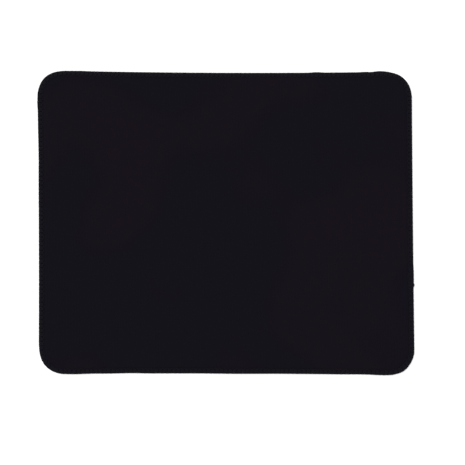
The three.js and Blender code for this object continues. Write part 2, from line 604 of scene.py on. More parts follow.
@dataclass(frozen=True)
class PadSection:
    """The pad's sheets from below, and how the seam squeezes them along the edge.

    Attributes:
        rubber_top: Level of the rubber's top face, away from the seam.
        film_top: Level of the adhesive film's top face.
        cloth_top: Level of the cloth's face.
        needle_inset: Distance of the needle line from the outline.
        cut_inset: Distance of the sheets' cut edge from the outline.
        pucker_width: From the needle line in to where the solid sheets are flat again.
        roll_width: The same for the cloth's face, which rises in a soft roll.
        needle_line_share: What is left of the thickness at the needle line.
        cut_edge_share: What is left of it at the cut edge.
    """

    rubber_top: float
    film_top: float
    cloth_top: float
    needle_inset: float
    cut_inset: float = 0.62
    pucker_width: float = 1.4
    roll_width: float = 1.9
    needle_line_share: float = 0.72
    cut_edge_share: float = 0.54

    @classmethod
    def from_frame(cls, needle_inset: float) -> PadSection:
        """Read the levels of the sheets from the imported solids.

        Args:
            needle_inset: Distance of the needle line from the outline.

        Returns:
            The section.
        """
        levels = [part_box(node)[1].z / MM for node in ("rubber_base", "bonding_film", "top_cloth")]
        return cls(*levels, needle_inset)

    @property
    def middle(self) -> float:
        """Level halfway up the pad."""
        return self.cloth_top / 2

    def share(self, inset: np.ndarray) -> np.ndarray:
        """Share of the thickness that the solid sheets keep at an inset."""
        places = (self.cut_inset, self.needle_inset, self.needle_inset + self.pucker_width)
        return np.interp(inset, places, (self.cut_edge_share, self.needle_line_share, 1.0))

    def soft_share(self, inset: np.ndarray) -> np.ndarray:
        """Share of the thickness at a face that shows, which rises in a soft roll.

        Args:
            inset: Distances from the outline.

        Returns:
            The share at each distance.
        """
        # The roll starts and ends level.
        way = np.clip((inset - self.needle_inset) / self.roll_width, 0, 1)
        roll = way * way * (3 - 2 * way)
        rolled = self.needle_line_share + (1 - self.needle_line_share) * roll
        return np.where(inset < self.needle_inset, self.share(inset), rolled)

    def level(self, level: float, inset: np.ndarray, soft: bool = False) -> np.ndarray:
        """Find where a level of the flat pad lies near the edge.

        Args:
            level: Height of the face, away from the seam.
            inset: Distances from the outline.
            soft: Whether the face is one that shows.

        Returns:
            The height at each distance.
        """
        share = self.soft_share(inset) if soft else self.share(inset)
        return self.middle + (level - self.middle) * share


@dataclass(frozen=True)
class KnittedPolyester:
    """Fine warp-knitted polyester, dyed black and heat-pressed smooth.

    The knit shows up close as rows of slanting loops, painted a little lighter on their tops as
    a painted highlight and darker in the gaps between them as painted shade. From a step away it
    closes up to a matte near-black with a trace of blue, which turns a little warmer in large soft
    patches.
    Fibre ends give it a faint grey bloom at low angles. Its yarn has hardly any gloss of its
    own. A real loop is too fine to show in the render or in a baked picture, so the knit is
    drawn as much coarser as it needs to show, and low enough to give no false lines from afar.

    Attributes:
        colour: Colour of the dyed yarn.
        wale_pitch: Distance between two columns of loops, at 16 to the centimetre.
        course_pitch: Distance between two rows of loops, at 21 to the centimetre.
        coarseness: How many times as large as a real loop a drawn one is.
        loop_slant: How steeply a loop's two halves rise, as a slope.
        loop_relief: Height of a loop over the gap beside it, low because the knit is pressed
            flat.
        shade_spread: How much lighter a loop is painted, as a painted highlight, and darker a gap,
        as painted shade.
        warm_colour: Colour where the yarn took more of the red in the dye.
        patch_size: Size of the patches that did.
        patch_detail: How finely their edges break up.
        patch_edge: Levels of the pattern between which one colour turns to the other.
        patch_place: Part of the pattern that the pad was cut from.
        roughness: Roughness of the fibres.
        specular: Strength of their gloss.
        bloom: Strength of the grey bloom at low angles.
        bloom_roughness: How far the bloom spreads from the lowest angles.
    """

    colour: str = "#15141b"
    wale_pitch: float = 0.62
    course_pitch: float = 0.48
    coarseness: float = 1.7
    loop_slant: float = 1.3
    loop_relief: float = 0.02
    shade_spread: float = 0.3
    warm_colour: str = "#19141c"
    patch_size: float = 75.0
    patch_detail: float = 1.0
    patch_edge: tuple[float, float] = (0.45, 0.65)
    patch_place: tuple[float, float, float] = (1210.0, 330.0, -480.0)
    roughness: float = 0.92
    specular: float = 0.03
    bloom: float = 0.45
    bloom_roughness: float = 0.3

    def material(self) -> bpy.types.Material:
        """Make the material.

        Returns:
            The material, to be put on a mesh.
        """
        made, tree, shader = new_material("warp_knitted_polyester_heat_pressed")
        wale = self.wale_pitch * self.coarseness
        course = self.course_pitch * self.coarseness
        relief = self.loop_relief * self.coarseness
        place = place_in_millimetres(tree)
        split = add_node(tree, "ShaderNodeSeparateXYZ", {0: place}).outputs
        across = add_node(tree, "ShaderNodeMath", {0: split[0], 1: wale / 2}, operation="PINGPONG")
        # A loop's two halves slant down to the middle of their column, and make a V.
        slant = add_node(
            tree,
            "ShaderNodeMath",
            {0: across.outputs[0], 1: self.loop_slant, 2: split[1]},
            operation="MULTIPLY_ADD",
        )
        phase = add_node(
            tree,
            "ShaderNodeMath",
            {0: slant.outputs[0], 1: math.tau / course},
            operation="MULTIPLY",
        )
        wave = add_node(tree, "ShaderNodeMath", {0: phase.outputs[0]}, operation="SINE")
        # The wave from -1 to 1 turns to one from 0 to 1.
        courses = add_node(
            tree, "ShaderNodeMath", {0: wave.outputs[0], 1: 0.5, 2: 0.5}, operation="MULTIPLY_ADD"
        )
        wales = add_node(
            tree, "ShaderNodeMath", {0: across.outputs[0], 1: 2 / wale}, operation="MULTIPLY"
        )
        loops = add_node(
            tree,
            "ShaderNodeMath",
            {0: courses.outputs[0], 1: wales.outputs[0]},
            operation="MULTIPLY",
        )
        bolt = add_node(
            tree, "ShaderNodeVectorMath", {0: place, 1: self.patch_place}, operation="ADD"
        )
        patches = add_node(
            tree,
            "ShaderNodeTexNoise",
            {
                "Vector": bolt.outputs[0],
                "Scale": 1 / self.patch_size,
                "Detail": self.patch_detail,
            },
        )
        cool_end, warm_end = self.patch_edge
        warmth = add_node(
            tree,
            "ShaderNodeMapRange",
            {"Value": patches.outputs["Fac"], "From Min": cool_end, "From Max": warm_end},
        )
        dye = add_node(
            tree,
            "ShaderNodeMix",
            {
                0: warmth.outputs[0],
                MIX_FIRST: linear(self.colour),
                MIX_SECOND: linear(self.warm_colour),
            },
            data_type="RGBA",
        )
        # Painted highlight on the loops' tops and painted shade in the gaps between them.
        colour = shaded(tree, dye.outputs[MIX_MADE], loops.outputs[0], self.shade_spread)
        finish_shader(tree, shader, colour, loops.outputs[0], relief, self.specular)
        shader.inputs["Roughness"].default_value = self.roughness
        shader.inputs["Sheen Weight"].default_value = self.bloom
        shader.inputs["Sheen Roughness"].default_value = self.bloom_roughness
        return made


@dataclass(frozen=True)
class SpunThread:
    """A dyed polyester thread of many fibres, twisted.

    Twisted strands show as slanting ridges that run round the thread. Each ridge is painted a
    little lighter on its crown, as a painted highlight, and dark in the groove beside it, as
    painted shade.

    Attributes:
        name: Name of the material.
        colour: Colour of a strand's crown and side.
        strands: Count of ridges round the thread.
        lay: Length of thread in which a strand runs once round.
        strand_relief: Depth of the grooves.
        shade_spread: How much lighter the crowns are painted, as a painted highlight, and darker
        the grooves, as painted shade.
        tangle: How far strands stray from their lay, as a share of a strand.
        tangle_size: Length of thread over which they stray.
        roughness: Roughness of the fibres.
        specular: Strength of their gloss.
        tangle_detail: How finely strands stray.
    """

    name: str
    colour: str
    strands: int
    lay: float
    strand_relief: float
    shade_spread: float
    tangle: float
    tangle_size: float
    roughness: float
    specular: float
    tangle_detail: float = 2.0

    def material(self) -> bpy.types.Material:
        """Make the material.

        Returns:
            The material, to be put on a mesh.
        """
        made, tree, shader = new_material(self.name)
        chart = add_node(tree, "ShaderNodeUVMap", uv_map=YARN_MAP).outputs[0]
        split = add_node(tree, "ShaderNodeSeparateXYZ", {0: chart}).outputs
        lie = add_node(
            tree,
            "ShaderNodeVectorMath",
            {0: chart, 1: (1 / self.tangle_size, self.strands / 2, 0.0)},
            operation="MULTIPLY",
        )
        stray = add_node(
            tree,
            "ShaderNodeTexNoise",
            {"Vector": lie.outputs[0], "Scale": 1.0, "Detail": self.tangle_detail},
        )
        turns = add_node(
            tree,
            "ShaderNodeMath",
            {0: split[0], 1: self.strands / self.lay},
            operation="MULTIPLY",
        )
        twist = add_node(
            tree,
            "ShaderNodeMath",
            {0: split[1], 1: float(self.strands), 2: turns.outputs[0]},
            operation="MULTIPLY_ADD",
        )
        strayed = add_node(
            tree,
            "ShaderNodeMath",
            {0: stray.outputs["Fac"], 1: self.tangle, 2: twist.outputs[0]},
            operation="MULTIPLY_ADD",
        )
        phase = add_node(
            tree, "ShaderNodeMath", {0: strayed.outputs[0], 1: math.pi}, operation="MULTIPLY"
        )
        wave = add_node(tree, "ShaderNodeMath", {0: phase.outputs[0]}, operation="SINE")
        crown = add_node(tree, "ShaderNodeMath", {0: wave.outputs[0]}, operation="ABSOLUTE")
        ridges = crown.outputs[0]
        # Painted highlight on each ridge's crown and painted shade in the groove beside it.
        colour = shaded(tree, linear(self.colour), ridges, self.shade_spread)
        finish_shader(tree, shader, colour, ridges, self.strand_relief, self.specular)
        shader.inputs["Roughness"].default_value = self.roughness
        return made


@dataclass(frozen=True)
class FoamedRubber:
    """Natural rubber, foamed in the sheet and embossed while warm.

    A thin skin covers fine open cells, so the surface is dull, with tiny pits that turn up all
    over it. The skin is a little smoother where the embossing roll pressed it.

    Attributes:
        colour: Colour of the rubber, black with soot.
        cell_size: Distance between two pits.
        cell_depth: Their depth.
        dust_size: Size of the patches where the skin carries more of its pale release dust.
        dust_detail: How finely their edges break up.
        shade_spread: How much lighter or darker they are.
        roughness_smooth: Roughness in a pit, where the skin is whole.
        roughness_rough: Roughness between the pits.
        specular: Strength of the gloss.
    """

    colour: str = "#1b1b1d"
    cell_size: float = 0.45
    cell_depth: float = 0.05
    dust_size: float = 18.0
    dust_detail: float = 4.0
    shade_spread: float = 0.12
    roughness_smooth: float = 0.62
    roughness_rough: float = 0.88
    specular: float = 0.2

    def material(self) -> bpy.types.Material:
        """Make the material.

        Returns:
            The material, to be put on a mesh.
        """
        made, tree, shader = new_material("foamed_natural_rubber_embossed")
        place = place_in_millimetres(tree)
        voronoi = add_node(
            tree,
            "ShaderNodeTexVoronoi",
            {"Vector": place, "Scale": 1 / self.cell_size},
            feature="SMOOTH_F1",
        )
        cells = voronoi.outputs["Distance"]
        dust = add_node(
            tree,
            "ShaderNodeTexNoise",
            {"Vector": place, "Scale": 1 / self.dust_size, "Detail": self.dust_detail},
        )
        colour = shaded(tree, linear(self.colour), dust.outputs["Fac"], self.shade_spread)
        finish_shader(tree, shader, colour, cells, self.cell_depth, self.specular)
        roughness = add_node(
            tree,
            "ShaderNodeMapRange",
            {"Value": cells, "To Min": self.roughness_smooth, "To Max": self.roughness_rough},
        )
        tree.links.new(roughness.outputs[0], shader.inputs["Roughness"])
        return made


@dataclass(frozen=True)
class HotMeltFilm:
    """Polyurethane hot-melt adhesive, laid on as a film and pressed hot.

    The film is see-through between two black sheets, so it shows as a dark yellowish grey, with
    milkier patches where less of it soaked into the cloth.

    Attributes:
        clear_colour: Colour where it soaked in.
        milky_colour: Colour where it didn't.
        patch_size: Size of the patches.
        patch_detail: How finely their edges break up.
        roughness: Roughness of the cut film.
    """

    clear_colour: str = "#2b2924"
    milky_colour: str = "#4b483f"
    patch_size: float = 6.0
    patch_detail: float = 4.0
    roughness: float = 0.5

    def material(self) -> bpy.types.Material:
        """Make the material.

        Returns:
            The material, to be put on a mesh.
        """
        made, tree, shader = new_material("polyurethane_hot_melt_film_pressed")
        metres = add_node(tree, "ShaderNodeTexCoord").outputs["Object"]
        patches = add_node(
            tree,
            "ShaderNodeTexNoise",
            {
                "Vector": metres,
                "Scale": 1 / (self.patch_size * MM),
                "Detail": self.patch_detail,
            },
        )
        colour = add_node(
            tree,
            "ShaderNodeMix",
            {
                0: patches.outputs["Fac"],
                MIX_FIRST: linear(self.clear_colour),
                MIX_SECOND: linear(self.milky_colour),
            },
            data_type="RGBA",
        )
        tree.links.new(colour.outputs[MIX_MADE], shader.inputs["Base Color"])
        shader.inputs["Roughness"].default_value = self.roughness
        return made


class SeamSide(Enum):
    """The side of the pad that a looper thread covers, as the sign of its rise."""

    TOP = 1
    UNDERSIDE = -1


@dataclass(frozen=True)
class SeamRun:
    """A stretch of the seam that is sewn at one go.

    Attributes:
        start: Distance along the needle line of its first toe.
        stitches: Count of its stitches.
        closed: Whether it runs all the way round and joins its own start.
        lift: How far its threads lie over the threads sewn before.
        shift: How far in from the first needle line its own lies.
        stray: How far its toes and hooks stray along the seam.
        seed: Seed of its strays.
    """

    start: float
    stitches: int
    closed: bool
    lift: float
    shift: float
    stray: float
    seed: int

    def rise(self, place: np.ndarray) -> np.ndarray:
        """Share of the lift along the run, which fades out at a loose end.

        Args:
            place: Places counted in stitches from the run's start.

        Returns:
            The share at each place.
        """
        if self.closed:
            return np.zeros(len(place))
        return np.clip(np.minimum(place, self.stitches - place), 0, 1)


@dataclass
class OverlockSeam:
    """A three-thread overlock round the pad's edge.

    The needle thread makes straight stitches along the needle line. Each looper thread runs to
    and fro over its side of the edge: a toe under the needle thread, a leg out, a hook at the
    edge where the loopers meet, and a leg back. Where the seam comes round to its start it runs
    on over its first stitches, so that they can't pull out, and its end is cut off at the edge.

    Attributes:
        outline: The pad's plan.
        section: The pad's sheets.
        stitch_pitch: Length of a stitch, before a whole count is fitted in.
        stitch_steps: Points of a looper thread in one stitch.
        leg_width: Width of a looper thread on its leg, where it lies spread.
        leg_height: Its height there.
        turn_width: Its width at a toe or a hook, where it is drawn together.
        turn_height: Its height there.
        leg_taper: How soon a leg narrows towards its ends; a small value keeps it wide.
        leg_straightness: How square to the edge a leg runs, from 0, all slanted, to 1.
        toe_inset: Distance of a toe from the outline.
        seat_gap: Gap between a leg and the face under it.
        edge_gap: The same at the cut edge.
        edge_steps: Points of a leg's bend over the cut edge.
        hook_drop: How far a hook reaches past the middle of the pad's height.
        hook_lead: How far a hook lies ahead of its toe along the seam.
        needle_thread_width: Width of the needle thread, flattened on the cloth.
        needle_thread_height: Its height there.
        needle_crown: How far a stitch stands above the squeezed cloth.
        needle_sink: Depth of its ends in the holes.
        needle_flatness: How flat a stitch lies between its holes.
        needle_lean: How far the middle of a stitch strays sideways.
        needle_steps: Points of a stitch on the cloth.
        hole_half_width: Half the distance between the two threads in a hole.
        stray: How far toes and hooks stray along the seam.
        reach_stray: How far the reach of the hooks strays, as a share of a leg.
        plump_stray: How far a leg's thickness strays, as a share.
        lap_place: Middle of the lap, along the needle line.
        lap_stitches: Count of stitches that are sewn twice.
        lap_phase: Place of the second stitches between the first ones, as a share of a stitch.
        lap_lift: How far the second threads lie over the first.
        lap_shift: How far in from the first needle line the second one lies.
        lap_stray: How far toes and hooks stray there.
        tail_place: Middle of the cut end of the looper thread, along the needle line.
        tail_length: Its length.
        tail_inset: Distance of its ends from the outline.
        tail_bow: How far its middle stands out from them.
        tail_bow_bias: Below 1, the bow is fullest near its root.
        tail_levels: Height of its first and last point over the middle of the pad.
        tail_widths: Its width at its root and at the cut.
        tail_taper: How late it narrows.
        tail_steps: Its points.
        hole_depth: How far the needle's holes draw the cloth in.
        hole_spread: Reach of that round a hole.
        fold_depth: Depth of the small folds that run in from the holes.
        fold_reach: Their reach.
        needle_sides: Corners of the needle thread's section.
        looper_sides: Corners of a looper thread's section.
        seed: Seed of all strays.
    """

    outline: PadOutline
    section: PadSection
    stitch_pitch: float = 3.0
    stitch_steps: int = 20
    leg_width: float = 1.58
    leg_height: float = 0.44
    turn_width: float = 0.78
    turn_height: float = 0.4
    leg_taper: float = 0.6
    leg_straightness: float = 0.6
    toe_inset: float = 3.25
    seat_gap: float = 0.03
    edge_gap: float = 0.1
    edge_steps: int = 7
    hook_drop: float = 0.2
    hook_lead: float = 0.66
    needle_thread_width: float = 0.42
    needle_thread_height: float = 0.3
    needle_crown: float = 0.3
    needle_sink: float = 0.35
    needle_flatness: float = 3.5
    needle_lean: float = 0.06
    needle_steps: int = 9
    hole_half_width: float = 0.1
    stray: float = 0.09
    reach_stray: float = 0.05
    plump_stray: float = 0.08
    lap_place: float = 50.0
    lap_stitches: int = 5
    lap_phase: float = 0.45
    lap_lift: float = 0.3
    lap_shift: float = 0.45
    lap_stray: float = 0.2
    tail_place: float = 45.1
    tail_length: float = 3.4
    tail_inset: float = 0.45
    tail_bow: float = 0.75
    tail_bow_bias: float = 0.8
    tail_levels: tuple[float, float] = (0.35, -0.15)
    tail_widths: tuple[float, float] = (0.5, 0.28)
    tail_taper: float = 3.0
    tail_steps: int = 12
    hole_depth: float = 0.14
    hole_spread: float = 0.55
    fold_depth: float = 0.05
    fold_reach: float = 1.6
    needle_sides: int = 6
    looper_sides: int = 8
    seed: int = 7

    @property
    def stitch_count(self) -> int:
        """Count of stitches all the way round."""
        return round(self.outline.needle_length / self.stitch_pitch)

    @property
    def pitch(self) -> float:
        """Length of one stitch, so that a whole count fits."""
        return self.outline.needle_length / self.stitch_count

    @property
    def round_run(self) -> SeamRun:
        """The seam all the way round."""
        return SeamRun(0.0, self.stitch_count, True, 0.0, 0.0, self.stray, self.seed)

    @property
    def lap_run(self) -> SeamRun:
        """The stitches that are sewn again over the seam's start.

        Returns:
            Their run, which begins between two of the first stitches.
        """
        first = round(self.lap_place / self.pitch - self.lap_stitches / 2) + self.lap_phase
        return SeamRun(
            start=first * self.pitch,
            stitches=self.lap_stitches,
            closed=False,
            lift=self.lap_lift,
            shift=self.lap_shift,
            stray=self.lap_stray,
            seed=self.seed + 1,
        )

    def _wrap(self) -> tuple[np.ndarray, np.ndarray, np.ndarray, np.ndarray]:
        """Work out a leg's line over the edge, seen from the seam's end.

        Returns:
            Shares of the way from toe to hook, and there the inset, the level above the
            middle of the pad, and the tilt of the surface from level.
        """
        section = self.section
        half = section.middle
        toe_level = half * float(section.share(np.array(self.toe_inset)))
        cut_level = half * section.cut_edge_share
        slope = math.atan2(toe_level - cut_level, self.toe_inset - section.cut_inset)
        over = self.leg_height / 2 + self.seat_gap
        beside = self.turn_height / 2 + self.edge_gap
        tilt = np.linspace(slope, math.pi / 2, self.edge_steps)
        stand = np.linspace(over, beside, len(tilt))
        bend_inset = section.cut_inset - stand * np.sin(tilt)
        bend_level = cut_level + stand * np.cos(tilt)
        inset = np.concatenate([[self.toe_inset], bend_inset, [bend_inset[-1]]])
        level = np.concatenate([[toe_level + over], bend_level, [-self.hook_drop]])
        tilts = np.concatenate([[slope], tilt, [math.pi / 2]])
        steps = np.hypot(np.diff(inset), np.diff(level))
        way = np.concatenate([[0.0], np.cumsum(steps)])
        return way / way[-1], inset, level, tilts

    def looper_path(self, side: SeamSide, run: SeamRun) -> ThreadPath:
        """Lay one looper thread along a stretch of the seam.

        On the underside the desk presses it flat, so it stays within the pad's height.

        Args:
            side: The side of the pad that it covers.
            run: The stretch.

        Returns:
            Its way.
        """
        steps = self.stitch_steps
        rng = np.random.default_rng(run.seed + side.value)
        toe_stray, hook_stray, reach_stray, plump = rng.uniform(-1, 1, (4, run.stitches + 1))
        toe_stray[-1] = toe_stray[0]
        stitch, step = np.divmod(np.arange(run.stitches * steps), steps)
        turn = math.tau * step / steps
        # The share of the way out is 0 at a toe and 1 at a hook.
        to_hook = (1 - np.cos(turn)) / 2
        next_toe = stitch + (step > steps / 2)
        lead = -side.value * self.hook_lead
        straight = self.leg_straightness * self.pitch / (2 * math.tau) * np.sin(2 * turn)
        travel = run.start + (stitch + step / steps) * self.pitch + straight + lead * to_hook
        travel += run.stray * (toe_stray[next_toe] * (1 - to_hook) + hook_stray[stitch] * to_hook)
        way, insets, levels, tilts = self._wrap()
        share = to_hook * (1 + self.reach_stray * reach_stray[stitch] * to_hook)
        inset, level, tilt = (np.interp(share, way, row) for row in (insets, levels, tilts))
        lift = run.lift * run.rise(stitch + step / steps)
        inset += run.shift * (1 - to_hook) - lift * np.sin(tilt)
        level += lift * np.cos(tilt)
        # A leg is fullest halfway, and drawn together at the toe and the hook.
        fullness = np.power(np.sin(turn) ** 2, self.leg_taper)
        size = 1 + self.plump_stray * plump[stitch] * np.sin(turn / 2) ** 2
        widths = self.turn_width + (self.leg_width - self.turn_width) * fullness
        widths *= size * self.outline.spread(travel, inset)
        heights = size * (self.turn_height + (self.leg_height - self.turn_height) * fullness)
        if side is SeamSide.UNDERSIDE:
            level = np.minimum(level, self.section.middle - heights / 2)
        outward = self.outline.outward(travel)
        height = self.section.middle + side.value * level
        points = np.column_stack([self.outline.place(travel, inset), height])
        normals = np.column_stack([outward * np.sin(tilt)[:, None], side.value * np.cos(tilt)])
        return ThreadPath(points, normals, widths, heights)

    def needle_path(self, run: SeamRun) -> ThreadPath:
        """Lay the needle thread along a stretch of the seam, through its holes and back.

        Args:
            run: The stretch.

        Returns:
            Its way.
        """
        section = self.section
        half = section.middle * section.needle_line_share
        hole = self.hole_half_width
        bight_reach = self.needle_thread_height
        half_thread = self.needle_thread_height / 2
        top_shares = np.linspace(0, 1, self.needle_steps)
        rise = self.needle_sink + self.needle_crown - half_thread
        bow = 1 - np.abs(2 * top_shares - 1) ** self.needle_flatness
        arch = half - self.needle_sink + rise * bow
        top = [
            (hole + share * (self.pitch - 2 * hole), 0.0, level)
            for share, level in zip(top_shares, arch)
        ]
        # Under the pad the thread opens to a small bight that catches the lower looper thread.
        bight = 2 * hole
        below = [
            (self.pitch - hole, 0.0, 0.0),
            (self.pitch - bight, half_thread, -half),
            (self.pitch, bight_reach, -half - half_thread),
            (self.pitch + bight, half_thread, -half),
            (self.pitch + hole, 0.0, 0.0),
        ]
        stitch = np.array(top + below)
        whole = np.tile(stitch, (run.stitches, 1))
        begins = np.repeat(np.arange(run.stitches) * self.pitch, len(stitch))
        travel = run.start + whole[:, 0] + begins
        rng = np.random.default_rng(run.seed)
        lean = self.needle_lean * np.repeat(rng.uniform(-1, 1, run.stitches), len(stitch))
        on_top = np.tile([*np.sin(np.pi * top_shares), *np.zeros(len(below))], run.stitches)
        inset = section.needle_inset + run.shift - whole[:, 1] + lean * on_top
        points = np.column_stack([self.outline.place(travel, inset), section.middle + whole[:, 2]])
        normals = np.column_stack([self.outline.outward(travel), np.zeros(len(travel))])
        spread = self.needle_thread_width - self.needle_thread_height
        widths = np.full(len(points), self.needle_thread_height)
        return ThreadPath(points, normals, widths, self.needle_thread_height + spread * on_top)

    def tail_path(self) -> ThreadPath:
        """Lay the cut end of the looper thread, where the lap begins.

        Returns:
            Its way.
        """
        share = np.linspace(0, 1, self.tail_steps)
        travel = self.tail_place + self.tail_length * (share - 0.5)
        bow = self.tail_bow * np.sin(np.pi * share**self.tail_bow_bias)
        plan = self.outline.place(travel, self.tail_inset - bow)
        height = self.section.middle + np.interp(share, (0, 1), self.tail_levels)
        points = np.column_stack([plan, height])
        normals = np.column_stack([self.outline.outward(travel), np.zeros(len(share))])
        size = np.interp(share**self.tail_taper, (0, 1), self.tail_widths)
        return ThreadPath(points, normals, size, size)

    def dimple(self, travel: np.ndarray, inset: np.ndarray) -> np.ndarray:
        """Say how deep the stitches draw a face in, near the needle's holes.

        Args:
            travel: Distances along the needle line.
            inset: Distances from the outline.

        Returns:
            Depth at each place.
        """
        off_line = np.abs(inset - self.section.needle_inset)
        along = np.cos(math.tau * travel / self.pitch)
        near_hole = np.exp(-((off_line / self.hole_spread) ** 2))
        hole = self.hole_depth * np.clip(along, 0, 1) ** 2 * near_hole
        fold = self.fold_depth * (along + 1) / 2 * np.exp(-off_line / self.fold_reach)
        return hole + fold * (inset > self.section.needle_inset)

    def _piece(
        self, path: ThreadPath, sides: int, closed: bool, name: str, finish: bpy.types.Material
    ) -> bpy.types.Object:
        """Make one thread.

        Args:
            path: Its way.
            sides: Corners of its section.
            closed: Whether it joins its own start.
            name: Name of the piece.
            finish: Its material.

        Returns:
            The dressed thread.
        """
        made = path.sweep(sides, closed).to_object(name)
        made.data.materials.append(finish)
        return made

    def build(self) -> list[bpy.types.Object]:
        """Build the seam's threads and dress them.

        Returns:
            The needle thread and the two looper threads, the stitches of each that are sewn
            again over the seam's start, and the cut end.
        """
        sewing = SpunThread(
            name="three_ply_polyester_sewing_thread",
            colour="#17161d",
            strands=3,
            lay=1.5,
            strand_relief=0.06,
            shade_spread=0.3,
            tangle=0.3,
            tangle_size=1.2,
            roughness=0.45,
            specular=0.06,
        ).material()
        textured = SpunThread(
            name="false_twist_textured_polyester_yarn",
            colour="#111017",
            strands=16,
            lay=16.0,
            strand_relief=0.08,
            shade_spread=0.5,
            tangle=2.2,
            tangle_size=1.1,
            roughness=0.5,
            specular=0.05,
        ).material()
        loopers = ((SeamSide.TOP, "upper_looper"), (SeamSide.UNDERSIDE, "lower_looper"))
        pieces = []
        for run, ending in ((self.round_run, "stitches"), (self.lap_run, "lap_stitches")):
            path = self.needle_path(run)
            needle = self._piece(
                path, self.needle_sides, run.closed, f"needle_{ending}", sewing
            )
            if run.closed:
                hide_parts("needle_thread")
            pieces.append(needle)
            for side, thread in loopers:
                path = self.looper_path(side, run)
                looper = self._piece(
                    path, self.looper_sides, run.closed, f"{thread}_{ending}", textured
                )
                if run.closed:
                    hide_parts(f"{thread}_thread")
                pieces.append(looper)
        tail = self._piece(
            self.tail_path(), self.looper_sides, False, "cut_looper_end", textured
        )
        return [*pieces, tail]


@dataclass
class BondedSheets:
    """The pad's three sheets: rubber below, adhesive film, and the cloth on top.

    Attributes:
        outline: The pad's plan.
        section: The sheets' levels.
        seam: The seam, whose stitches draw the sheets in.
        ring_steps: Points of a ring in one stitch.
        cloth_rings: Insets of the rings on the cloth's face, from the cut edge in.
        base_rings: Insets of the rings on the rubber's underside, from the cut edge in.
        grid_step: Spacing of points in the flat middle of the cloth.
        hidden_step: The same in a face that another sheet covers.
        stud_margin: Gap between the innermost ring of the underside and the studs.
        sharp_degrees: A stud's edges turn by more than this, and are drawn sharp.
        stud_length: Length of the rhombic studs embossed on the underside.
        stud_width: Their width.
        groove_share: Half the width of the groove between studs, as a share of their pitch.
        groove_depth: Its depth.
        chart_gap_share: Gap round the cloth's face on its chart, as a share of the chart.
    """

    outline: PadOutline
    section: PadSection
    seam: OverlockSeam
    ring_steps: int = 6
    cloth_rings: tuple[float, ...] = (1.6, 2.6, 3.1, 3.5, 3.9, 4.35, 4.85, 5.5, 6.5, 8.0)
    base_rings: tuple[float, ...] = (2.0, 3.1, 3.5, 3.9)
    grid_step: float = 3.0
    hidden_step: float = 12.0
    stud_margin: float = 0.3
    sharp_degrees: float = 25.0
    stud_length: float = 4.4
    stud_width: float = 2.8
    groove_share: float = 0.16
    groove_depth: float = 0.22
    chart_gap_share: float = 0.004

    @property
    def ring_width(self) -> int:
        """Count of points in a ring."""
        return self.seam.stitch_count * self.ring_steps

    @property
    def ring_travel(self) -> np.ndarray:
        """Distances along the needle line of a ring's points."""
        return np.arange(self.ring_width) * self.outline.needle_length / self.ring_width

    def _ring(self, inset: float, level: float, soft: bool) -> np.ndarray:
        """One ring of a face.

        Args:
            inset: Distance from the outline.
            level: The face's height, away from the seam.
            soft: Whether the face shows, and so is drawn in by the stitches.

        Returns:
            The ring's points.
        """
        travel = self.ring_travel
        insets = np.full(len(travel), inset)
        height = self.section.level(level, insets, soft)
        if soft:
            sign = np.sign(level - self.section.middle)
            height -= sign * self.seam.dimple(travel, insets)
        return np.column_stack([self.outline.place(travel, inset), height])

    def _lid(self, step: float, ring_inset: float, level: float) -> np.ndarray:
        """Lay a plain grid of points inside a face's innermost ring, half a step off it.

        Args:
            step: Spacing of the points.
            ring_inset: The ring's distance from the outline.
            level: The face's height.

        Returns:
            The points.
        """
        reach = self.outline.half_size
        xs, ys = (np.arange(-half, half, step) for half in reach)
        plan = np.stack(np.meshgrid(xs, ys), -1).reshape(-1, 2)
        plan = plan[self.outline.inset_of(plan) > ring_inset + step / 2]
        return np.column_stack([plan, np.full(len(plan), level)])

    def cloth_shape(self) -> Shape:
        """Make the cloth, with its soft roll and the folds at the stitches.

        Returns:
            The cloth's whole surface.
        """
        section = self.section
        flat_inset = section.needle_inset + section.pucker_width
        face = (section.cut_inset, *self.cloth_rings)
        back = (section.cut_inset, section.needle_inset, flat_inset)
        rings = [self._ring(inset, section.cloth_top, soft=True) for inset in face[::-1]]
        rings += [self._ring(inset, section.film_top, soft=False) for inset in back]
        top = self._lid(self.grid_step, face[-1], section.cloth_top)
        bottom = self._lid(self.hidden_step, flat_inset, section.film_top)
        made = closed_plate(np.array(rings), top, bottom)
        made.charts[BAKE_MAP] = self._chart(made, len(face), len(back), len(bottom))
        return made

    def _chart(
        self, shape: Shape, face_rings: int, back_rings: int, back_points: int
    ) -> np.ndarray:
        """Lay the cloth out on a chart: its face as wide as fits, and the hidden back small.

        Args:
            shape: The cloth.
            face_rings: Count of the rings on its face.
            back_rings: Count of the rings on its back, which come next.
            back_points: Count of the loose points on its back, which come last.

        Returns:
            U and V for each face corner.
        """
        first_back = face_rings * self.ring_width
        on_back = np.zeros(len(shape.points), bool)
        on_back[first_back : first_back + back_rings * self.ring_width] = True
        on_back[-back_points:] = True
        corners = np.concatenate(shape.faces)
        sizes = [len(face) for face in shape.faces]
        starts = np.concatenate([[0], np.cumsum(sizes)[:-1]])
        back_face = np.repeat(np.logical_and.reduceat(on_back[corners], starts), sizes)
        # The cut edge stands upright, so on the chart it is turned out flat round the face.
        edge = slice(first_back, first_back + self.ring_width)
        rim = self.section.cloth_top - self.section.film_top
        plan = shape.points[:, :2].copy()
        plan[edge] = self.outline.place(self.ring_travel, self.section.cut_inset - rim)
        gap = self.chart_gap_share
        low, high = plan.min(0), plan.max(0)
        scale = (1 - 2 * gap) / (high[0] - low[0])
        face_chart = gap + (plan - low) * scale
        back_scale = (1 - gap - face_chart[:, 1].max() - gap) / (high[1] - low[1])
        back_chart = 1 - gap - (shape.points[:, :2] - low) * back_scale
        return np.where(back_face[:, None], back_chart[corners], face_chart[corners])

